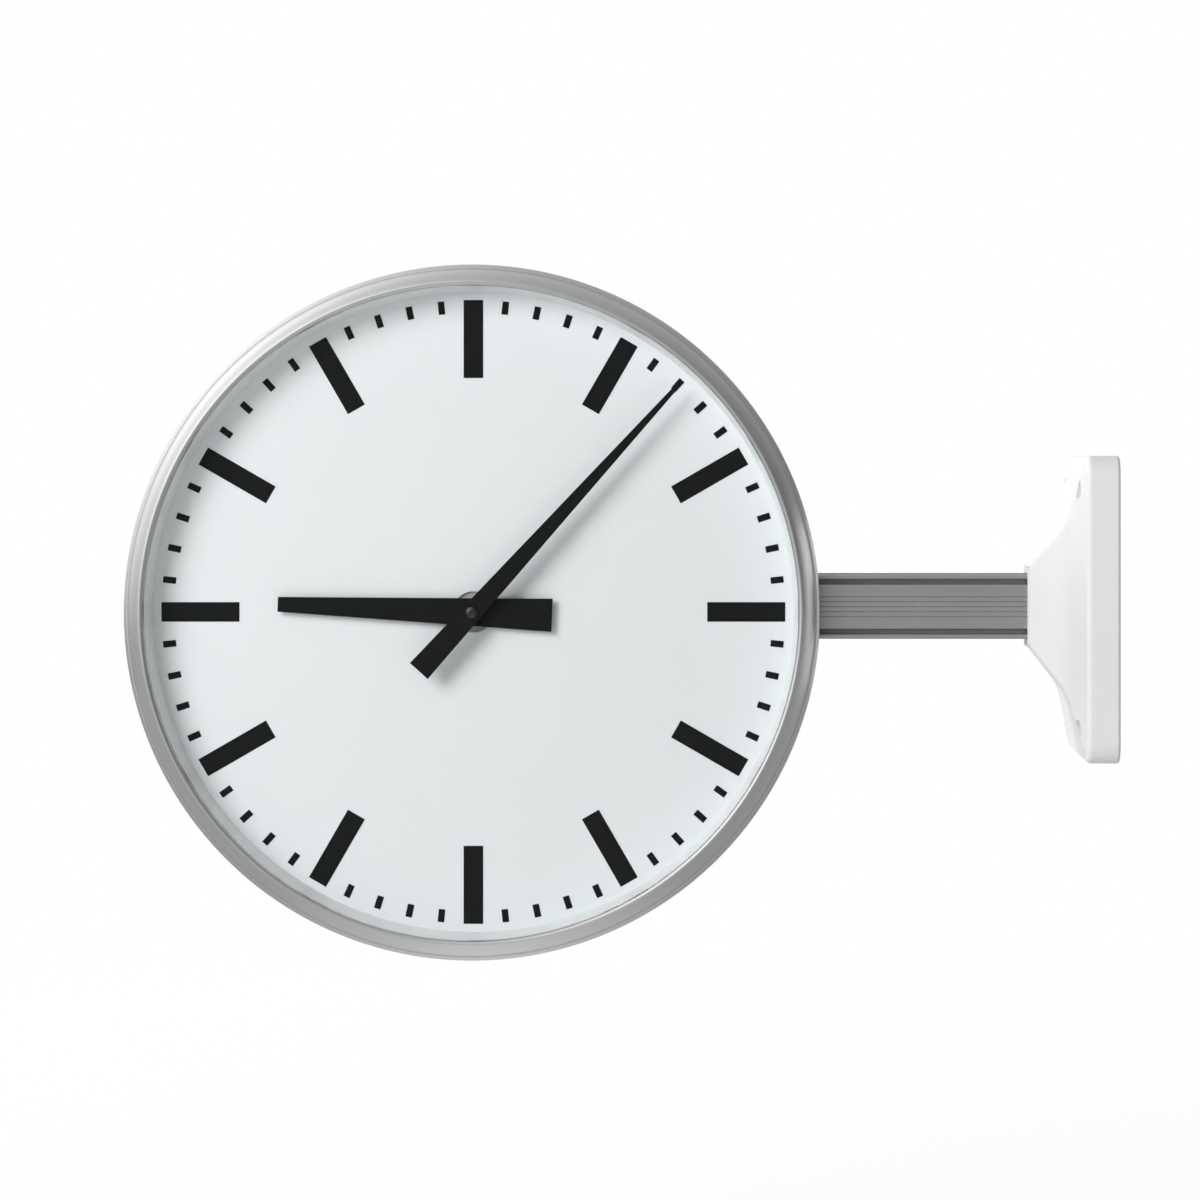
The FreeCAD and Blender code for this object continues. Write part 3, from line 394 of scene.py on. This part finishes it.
def cast_alloy():
    alloy = Finish("cast_alloy", Metallic=1.0)
    skin = alloy.noise(700.0, 4.0, 0.6)
    alloy.feed("Base Color", alloy.blend(skin, srgb(120, 121, 123), srgb(158, 159, 160)))
    alloy.feed("Roughness", 0.5 + 0.2 * skin)
    alloy.bump(skin, 0.0001, 0.6)
    return alloy


wear(nodes["arm_profile"], extruded_aluminium())
wear(nodes["arm_socket"], cast_alloy())
wear(nodes["grub_screws"], zinc)
dial_low, dial_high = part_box("front_dial")
clock_x = (dial_low[0] + dial_high[0]) / 2
clock_z = (dial_low[2] + dial_high[2]) / 2
socket_screw = cross_head_screw(0.002, 0.0085, 0.0036, 0.0019, sunk=False)
band_radius = 0.157
socket_screw_angle = 9.5
socket_screw_offset = 0.009
socket_screw_places = []
for degrees in (-socket_screw_angle, socket_screw_angle):
    across, rise = math.cos(math.radians(degrees)), math.sin(math.radians(degrees))
    for y in (-socket_screw_offset, socket_screw_offset):
        seat = (clock_x + band_radius * across, y, clock_z + band_radius * rise)
        socket_screw_places.append(standing(seat, (across, 0, rise)))
stand_in(
    group_of("pan_head_socket_screws", socket_screw, socket_screw_places),
    "socket_screws", "case", zinc,
)


# Drum band.
# A strip of aluminium rolled into a ring and satin anodised. The bezels' skirts slide
# over its two edges.


def brushed_round(name, dark, light, roughness):
    """Satin aluminium with the fine rings of a lathe about the clock's axis."""
    satin = Finish(name, Metallic=1.0)
    apart = satin.node("ShaderNodeSeparateXYZ", None, {"Vector": satin.place}, "X")
    across = apart - clock_x
    rise = Signal(satin, apart.socket.node.outputs["Z"]) - clock_z
    depth = Signal(satin, apart.socket.node.outputs["Y"])
    radius = (across * across + rise * rise) ** 0.5
    turning = satin.node("ShaderNodeCombineXYZ", None, {"X": radius, "Y": depth})
    rings = satin.noise(1900.0, 3.0, 0.7, turning)
    cloud = satin.noise(14.0, 3.0)
    tone = (0.5 * rings + 0.5 * cloud).clamped()
    satin.feed("Base Color", satin.blend(tone, dark, light))
    satin.feed("Roughness", roughness + 0.1 * rings)
    satin.bump(rings, 0.00004, 0.5)
    return satin


wear(nodes["case_ring"], brushed_round("band_satin", srgb(190, 191, 192), srgb(208, 208, 208), 0.3))


# Movements.
# Behind each dial a black moulded case with a grey plate stands on four studs. In it
# are a stepping motor and a train of acetal and brass wheels, hidden by the dials.


def turned_brass():
    brass = Finish("turned_brass", Metallic=1.0)
    tone = brass.noise(160.0, 3.0)
    brass.feed("Base Color", brass.blend(tone, srgb(198, 160, 88), srgb(226, 194, 124)))
    brass.feed("Roughness", 0.24 + 0.14 * tone)
    brass.bump(brass.noise(1900.0, 2.0), 0.00002, 0.4)
    return brass


def enamelled_copper():
    """Copper wire under a thin clear enamel, a little darker in places."""
    copper = Finish("enamelled_copper", Metallic=1.0, Coat_Weight=0.5, Coat_Roughness=0.15)
    stain = copper.noise(240.0, 3.0)
    copper.feed("Base Color", copper.blend(stain, srgb(150, 74, 32), srgb(206, 122, 66)))
    copper.feed("Roughness", 0.22 + 0.16 * stain)
    copper.bump(copper.noise(2200.0, 2.0), 0.00001, 0.3)
    return copper


def stacked_steel():
    """Stator laminations: thin sheets, one on another."""
    steel = Finish("stacked_steel", Metallic=1.0)
    sheets = steel.node(
        "ShaderNodeTexWave",
        {"wave_type": "BANDS", "bands_direction": "Y", "wave_profile": "SAW"},
        {"Vector": steel.place, "Scale": 320.0},
        "Fac",
    )
    steel.feed("Base Color", steel.blend(sheets, srgb(96, 97, 100), srgb(142, 143, 146)))
    steel.feed("Roughness", 0.38 + 0.14 * sheets)
    steel.bump(sheets, 0.00005, 0.5)
    return steel


brass = turned_brass()
copper = enamelled_copper()
laminations = stacked_steel()
black_case = moulded("movement_plastic", srgb(34, 35, 37), 0.48)
white_gear = moulded("gear_acetal", srgb(224, 220, 206), 0.36, 2400.0, 0.00002)
magnet = moulded("bonded_magnet", srgb(58, 57, 58), 0.55, 2600.0, 0.00004)
grey_plate = moulded("movement_plate_plastic", srgb(186, 188, 188), 0.45)
movement_finishes = {
    "movement_case": black_case,
    "movement_plate": grey_plate,
    "coil_bobbin": black_case,
    "stator": laminations,
    "rotor": magnet,
    "intermediate_wheel": white_gear,
    "motion_wheel": white_gear,
    "centre_wheel": brass,
    "hour_wheel": brass,
    "minute_arbor": brass,
    "motion_post": brass,
    "dial_studs": zinc,
    "stud_nuts": zinc,
    "dial_brackets": zinc,
}
for side in ("front_", "rear_"):
    for name, finish in movement_finishes.items():
        wear(nodes[side + name], finish)


def winding(side):
    """The outer layer of the coil, turn by turn, over the solid of the layers below."""
    low, high = (Vector(corner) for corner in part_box(side + "coil_winding"))
    middle = (low + high) / 2
    radius = (high.z - low.z) / 2
    length = high.x - low.x
    turns = 33
    wire = length / turns / 2
    steps = 6
    outline = [(0.0, -length / 2)]
    for turn in range(turns):
        foot = -length / 2 + 2 * wire * turn
        for step in range(1, steps):
            angle = math.pi * step / steps
            height = foot + wire * (1 - math.cos(angle))
            outline.append((radius - wire + wire * math.sin(angle), height))
    outline.append((0.0, length / 2))
    core = turned_solid(outline, 64)
    bore = bmesh.new()
    bmesh.ops.create_cube(bore, size=1.0)
    bobbin_core = (0.006, 0.004, length * 1.2)
    bmesh.ops.scale(bore, vec=bobbin_core, verts=bore.verts)
    hole = bpy.data.meshes.new("bore")
    bore.to_mesh(hole)
    bore.free()
    wound = cut_mesh(core, hole)
    return group_of(side + "wound_coil", wound, [standing(middle, (1, 0, 0))])


for side in ("front_", "rear_"):
    stand_in(winding(side), side + "coil_winding", "case", copper)


# Dials and their marks.
# Sheet aluminium, stove enamelled in a cool semi-matt white. The sixty marks are a
# thick print of satin black.


def dial_enamel():
    enamel = Finish("dial_enamel")
    cloud = enamel.noise(9.0, 3.0)
    enamel.feed("Base Color", enamel.blend(cloud, srgb(240, 243, 244), srgb(244, 247, 248)))
    peel = enamel.noise(520.0, 2.0, 0.4)
    enamel.feed("Roughness", 0.44 + 0.08 * peel)
    enamel.bump(peel, 0.00002, 0.25)
    return enamel


def black_enamel(name, shine, roughness):
    enamel = Finish(name, Specular_IOR_Level=shine)
    speck = enamel.noise(800.0, 3.0)
    enamel.feed("Base Color", enamel.blend(speck, srgb(11, 12, 13), srgb(19, 20, 21)))
    enamel.feed("Roughness", roughness + 0.12 * speck)
    enamel.bump(speck, 0.00002, 0.3)
    return enamel


white_enamel = dial_enamel()
black = black_enamel("black_enamel", 0.22, 0.36)
for side in ("front_", "rear_"):
    wear(nodes[side + "dial"], white_enamel)
    wear(nodes[side + "dial_marks"], black)


# Hands.
# Aluminium blades, pressed and sprayed satin black. A small domed nut holds the
# minute hand on its arbor.

polished_black = black_enamel("polished_black", 0.9, 0.14)
for side in ("front_", "rear_"):
    for name in ("hour_hand", "minute_hand"):
        wear(nodes[side + name], black)
    wear(nodes[side + "hand_nut"], polished_black)


# Spacer rings.
# A tapered ring stands on each dial and carries the lens. It is spun aluminium in
# satin white paint with a fine fleck.


def silver_paint():
    paint = Finish("silver_paint")
    fleck = paint.noise(1500.0, 2.0, 0.6)
    paint.feed("Base Color", paint.blend(fleck, srgb(240, 243, 243), srgb(247, 249, 249)))
    paint.feed("Roughness", 0.4 + 0.1 * fleck)
    paint.bump(fleck, 0.00002, 0.3)
    return paint


paint = silver_paint()
for side in ("front_", "rear_"):
    wear(nodes[side + "spacer_ring"], paint)


# Lenses.
# Two millimetres of clear acrylic, polished on both faces.


def clear_acrylic():
    """Clear sheet: what is behind shows through, and its faces add a weak reflection."""
    clear = Finish("clear_acrylic", Roughness=0.04, Base_Color=srgb(40, 42, 42))
    through = clear.node("ShaderNodeBsdfTransparent", None, {"Color": (0.985, 0.99, 0.99, 1.0)})
    edge = clear.node("ShaderNodeFresnel", None, {"IOR": 1.3}, "Fac")
    haze = clear.noise(6.0, 2.0)
    factor = (0.4 * edge + 0.002 * haze).clamped()
    surface = Signal(clear, clear.shader.outputs["BSDF"])
    mixed = clear.node("ShaderNodeMixShader", None, {0: factor, 1: through, 2: surface})
    clear.join(clear.tree.nodes["Material Output"].inputs["Surface"], mixed)
    return clear


acrylic = clear_acrylic()
for side in ("front_", "rear_"):
    wear(nodes[side + "lens"], acrylic)


# Bezels.
# Each is a spun aluminium ring, turned on its face and satin anodised. Its lip holds
# the lens, and three screws through its skirt hold it to the band.


def crowned(start, end, bulge, steps):
    """Points of a shallow arc that stands off its chord by the bulge."""
    chord = Vector(end) - Vector(start)
    outward = Vector((chord.y, -chord.x)).normalized()
    points = []
    for step in range(1, steps):
        share = step / steps
        rise = 4.0 * bulge * share * (1.0 - share)
        points.append(tuple(Vector(start) + chord * share + outward * rise))
    return points


sight = 0.150
front_edge = 0.048
roll = 0.0016
roll_centre = (sight + roll, front_edge - roll)
lip = arc(roll_centre, roll, 57.0, 180.0, 14)
bezel_outline = [
    (0.1572, 0.018), (0.1596, 0.018), (0.16, 0.0184), (0.16, 0.0387),
    (0.1599, 0.0391), (0.1587, 0.0405), (0.1585, 0.0406), (0.158, 0.0406),
    *crowned((0.158, 0.0406), lip[0], 0.0008, 12),
    *lip,
    (sight, 0.046), (0.1545, 0.046), (0.1572, 0.039),
]
bezel_blank = turned_solid(bezel_outline + bezel_outline[:1], 288)
bezel_hole = turned_solid([
    (0.0, -0.0054), (0.0017, -0.0054), (0.0017, -0.0014),
    (0.003, 0.0), (0.003, 0.0008), (0.0, 0.0008),
], 40)
bezel_screw_radius = 0.1598
bezel_screw_plane = 0.024
bezel_screw = cross_head_screw(0.0015, 0.0053, 0.0028, 0.0014, sunk=True)
satin = brushed_round("bezel_satin", srgb(196, 197, 198), srgb(212, 212, 212), 0.3)
for side, facing in (("front_", 1), ("rear_", -1)):
    bezel_screw_places = []
    for degrees in (90, 210, 330):
        across = facing * math.cos(math.radians(degrees))
        rise = math.sin(math.radians(degrees))
        seat = (
            clock_x + bezel_screw_radius * across,
            -bezel_screw_plane * facing,
            clock_z + bezel_screw_radius * rise,
        )
        bezel_screw_places.append(standing(seat, (across, 0, rise)))
    facing_out = standing((clock_x, 0.0, clock_z), (0, -facing, 0))
    holes = repeated(bezel_hole, bezel_screw_places)
    drilled = cut_mesh(repeated(bezel_blank, [facing_out]), holes)
    stand_in(
        group_of(side + "spun_bezel", drilled, [Matrix.Identity(4)]),
        side + "bezel", "case", satin,
    )
    stand_in(
        group_of(side + "sunk_bezel_screws", bezel_screw, bezel_screw_places),
        side + "bezel_screws", "case", zinc,
    )


# The room.
# A pale floor under the clock, three soft lamps at the left and behind, and white all
# round to the camera. Metal mirrors a graded room with a window and a soft box in it.


def pale_floor():
    """Pale under the clock and white further out; metal sees it grey, with a bright strip."""
    floor = bpy.data.meshes.new("floor")
    build = bmesh.new()
    level = -0.34
    reach = 9
    corners = [(-reach, -reach), (reach, -reach), (reach, reach), (-reach, reach)]
    build.faces.new([build.verts.new((x, y, level)) for x, y in corners])
    build.to_mesh(floor)
    build.free()
    piece = bpy.data.objects.new("floor", floor)
    bpy.context.scene.collection.objects.link(piece)
    pale = Finish("floor_white", Roughness=0.9, Base_Color=srgb(228, 228, 228))
    path = pale.node("ShaderNodeLightPath", None, None, "Is Camera Ray")
    apart = pale.node("ShaderNodeSeparateXYZ", None, {"Vector": pale.place}, "X")
    aside = apart - clock_x
    strip = (1.0 - 4.0 * aside.math("ABSOLUTE", aside)).clamped()
    mirrored = pale.blend(strip, (0.42, 0.42, 0.42, 1.0), (0.95, 0.95, 0.95, 1.0))
    tone = pale.blend(path, mirrored, (1.0, 1.0, 1.0, 1.0))
    bright = pale.node("ShaderNodeEmission", None, {"Color": tone})
    glossy = Signal(pale, path.socket.node.outputs["Is Glossy Ray"])
    through = Signal(pale, path.socket.node.outputs["Is Transmission Ray"])
    distance = pale.node("ShaderNodeVectorMath", {"operation": "LENGTH"}, {0: pale.place}, "Value")
    near = 0.5
    fade = 1.3
    far = ((distance - near) / fade).clamped()
    seen = (path * (0.92 + 0.08 * far) + 0.85 * (glossy + through)).clamped()
    surface = Signal(pale, pale.shader.outputs["BSDF"])
    mixed = pale.node("ShaderNodeMixShader", None, {0: seen, 1: surface, 2: bright})
    pale.join(pale.tree.nodes["Material Output"].inputs["Surface"], mixed)
    wear(piece, pale)


class Room(Finish):
    """The world's own nodes, written as a finish is."""

    def __init__(self, name):
        world = bpy.data.worlds.new(name)
        bpy.context.scene.world = world
        world.use_nodes = True
        self.tree = world.node_tree
        self.place = self.node("ShaderNodeTexCoord", output="Generated")


def white_room():
    """White behind the clock, a plain soft light, and a room that metal can mirror."""
    room = Room("white_room")
    path = room.node("ShaderNodeLightPath", None, None, "Is Camera Ray")
    glossy = Signal(room, path.socket.node.outputs["Is Glossy Ray"])
    through = Signal(room, path.socket.node.outputs["Is Transmission Ray"])

    def toward(direction):
        ways = {0: room.place, 1: direction}
        return room.node("ShaderNodeVectorMath", {"operation": "DOT_PRODUCT"}, ways, "Value")

    window = toward((-0.72, 0.4, 0.57)).clamped() ** 8.0
    soft_box = toward((-0.59, -0.74, 0.4)).clamped() ** 10.0
    graded = 0.42 + 0.36 * toward((-0.72, 0.35, 0.6))
    mirrored = graded + 1.15 * window + 1.5 * soft_box
    plain = 0.35
    seen = path + through
    strength = seen + glossy * mirrored + (1 - seen - glossy) * plain
    background = room.tree.nodes["Background"]
    room.join(background.inputs["Color"], (1.0, 1.0, 1.0, 1.0))
    room.join(background.inputs["Strength"], strength)


def soft_lamp(name, place, target, size, power):
    lamp = bpy.data.lights.new(name, "AREA")
    lamp.shape = "DISK"
    lamp.size = size
    lamp.energy = power
    fitting = bpy.data.objects.new(name, lamp)
    fitting.matrix_world = standing(place, Vector(place) - Vector(target))
    fitting.visible_glossy = False
    bpy.context.scene.collection.objects.link(fitting)


pale_floor()
white_room()
soft_lamp("key_lamp", (-1.62, -1.75, 0.93), (-0.25, 0.0, 0.0), 1.4, 45.0)
soft_lamp("side_lamp", (-1.9, 0.78, 0.93), (-0.3, 0.0, 0.0), 0.9, 20.0)
soft_lamp("rear_lamp", (-0.9, 2.2, 0.9), (-0.3, 0.0, 0.0), 1.4, 28.0)


# The camera.
# It looks square at the dial from 2.1 m away, 0.15 m to the right of the clock's axis
# and 0.07 m above it.

lens_data = bpy.data.cameras.new("camera")
lens_data.sensor_width = 36.0
lens_data.lens = 137.1
lens_data.shift_x = -0.1571
lens_data.shift_y = -0.1092
camera = bpy.data.objects.new("camera", lens_data)
camera.location = (-0.1505, -2.139, 0.064)
camera.rotation_euler = (math.radians(90), 0.0, 0.0)
bpy.context.scene.collection.objects.link(camera)
bpy.context.scene.camera = camera
bpy.context.scene.view_settings.view_transform = "Standard"
